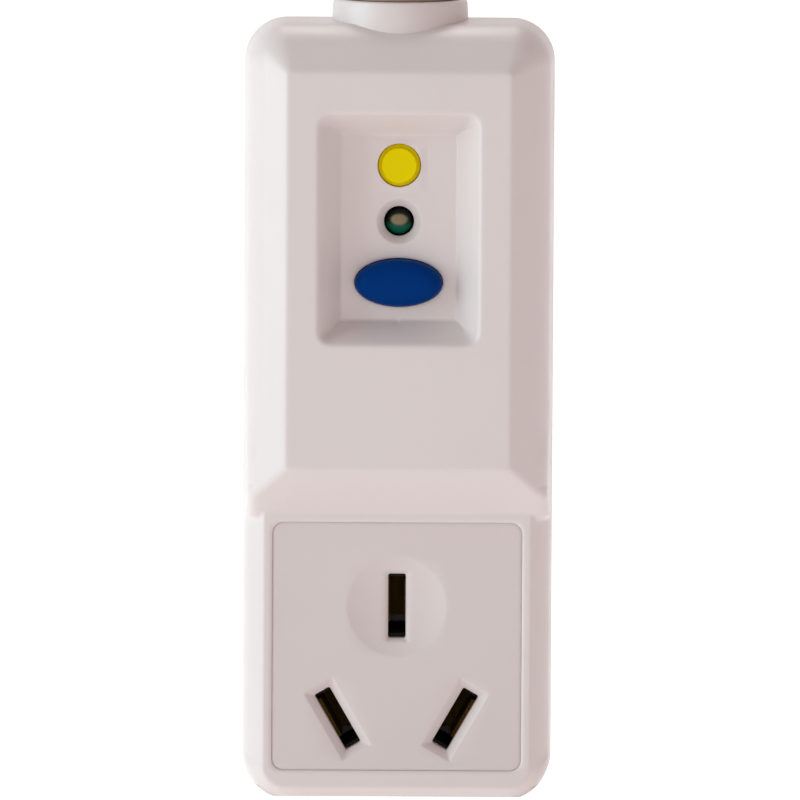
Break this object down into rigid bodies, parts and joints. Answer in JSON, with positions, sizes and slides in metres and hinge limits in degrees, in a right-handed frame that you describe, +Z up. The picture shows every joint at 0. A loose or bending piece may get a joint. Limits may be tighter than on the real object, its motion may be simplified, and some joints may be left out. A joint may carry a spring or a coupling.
{
  "type": "portable residual-current socket block",
  "caption": "Upright moulded socket block for a cord, with a cord gland on top, a sunk panel with test and reset buttons and a lamp, and a flat-pin outlet below.",
  "frame": {"origin": "middle of the flat lower end, under the centre of the case's width and depth", "axes": "+X right across the face, +Y from the face to the flat back, +Z up to the cord gland"},
  "size_m": [0.0434, 0.032, 0.1146],
  "materials": {
    "case_abs": "satin moulded ABS, warm white",
    "plate_abs": "satin moulded plastic, warm white",
    "bush_rubber": "soft moulded bush, warm grey",
    "inner_nylon": "natural nylon moulding",
    "yellow_abs": "coloured moulded plastic",
    "blue_abs": "coloured moulded plastic",
    "green_lamp": "green-tinted lamp resin",
    "black_nylon": "black moulded nylon and epoxy",
    "board_laminate": "green laminate",
    "brass": "stamped brass",
    "copper": "copper strip and wire",
    "steel": "zinc-plated steel",
    "silver": "silver-faced contact metal",
    "brown_pvc": "PVC insulation",
    "blue_pvc": "PVC insulation",
    "green_yellow_pvc": "PVC insulation",
    "blue_epoxy": "dipped epoxy",
    "yellow_film_case": "moulded film-capacitor case",
    "resistor_body": "lacquered resistor body"
  },
  "bodies": {
    "housing": {"front_cover": "case_abs", "rear_cover": "case_abs", "socket_plate": "plate_abs", "gland_bush": "bush_rubber", "housing_screws": "steel", "cord_clamp": "inner_nylon", "clamp_screws": "steel", "contact_base": "black_nylon", "earth_contact": "brass", "live_contact": "brass", "neutral_contact": "brass", "live_busbar": "copper", "neutral_busbar": "copper", "line_tabs": "copper", "fixed_contacts": "silver", "mechanism_base": "inner_nylon", "circuit_board": "board_laminate", "board_screws": "steel", "reset_spring": "steel", "test_spring": "steel", "test_contact": "silver", "indicator_led": "green_lamp", "led_spacer": "black_nylon", "solenoid_frame": "steel", "coil_bobbin": "black_nylon", "coil_winding": "copper", "plunger_spring": "steel", "sensor_case": "black_nylon", "sensor_core": "copper", "terminal_block": "inner_nylon", "terminal_barrels": "brass", "terminal_screws": "steel", "live_wire": "brown_pvc", "neutral_wire": "blue_pvc", "earth_wire": "green_yellow_pvc", "control_chip": "black_nylon", "thyristor": "black_nylon", "varistor": "blue_epoxy", "film_capacitor": "yellow_film_case", "resistors": "resistor_body", "rectifier_diodes": "black_nylon"},
    "reset_button": {"reset_button": "blue_abs"},
    "test_button": {"test_button": "yellow_abs"},
    "contact_carrier": {"contact_carrier": "inner_nylon", "moving_contacts": "silver"},
    "trip_plunger": {"trip_plunger": "steel", "latch_pin": "steel"}
  },
  "joints": [
    {"name": "test_button_press", "type": "slide", "parent": "housing", "child": "test_button", "axis": [0, 1, 0], "range_m": [0, 0.001], "stiffness_N_per_m": 800, "springref_m": -0.0008, "deforming": ["test_spring"]},
    {"name": "reset_button_press", "type": "slide", "parent": "housing", "child": "reset_button", "axis": [0, 1, 0], "range_m": [0, 0.0025], "stiffness_N_per_m": 1000, "springref_m": -0.001, "deforming": ["reset_spring"]},
    {"name": "contact_carrier_slide", "type": "slide", "parent": "housing", "child": "contact_carrier", "axis": [0, 1, 0], "range_m": [0, 0.0025]},
    {"name": "trip_plunger_pull", "type": "slide", "parent": "housing", "child": "trip_plunger", "axis": [0, 0, -1], "range_m": [0, 0.003], "stiffness_N_per_m": 300, "springref_m": -0.001, "deforming": ["plunger_spring"]}
  ],
  "couplings": [
    {"joint": "contact_carrier_slide", "follows": "reset_button_press", "ratio": 1}
  ]
}
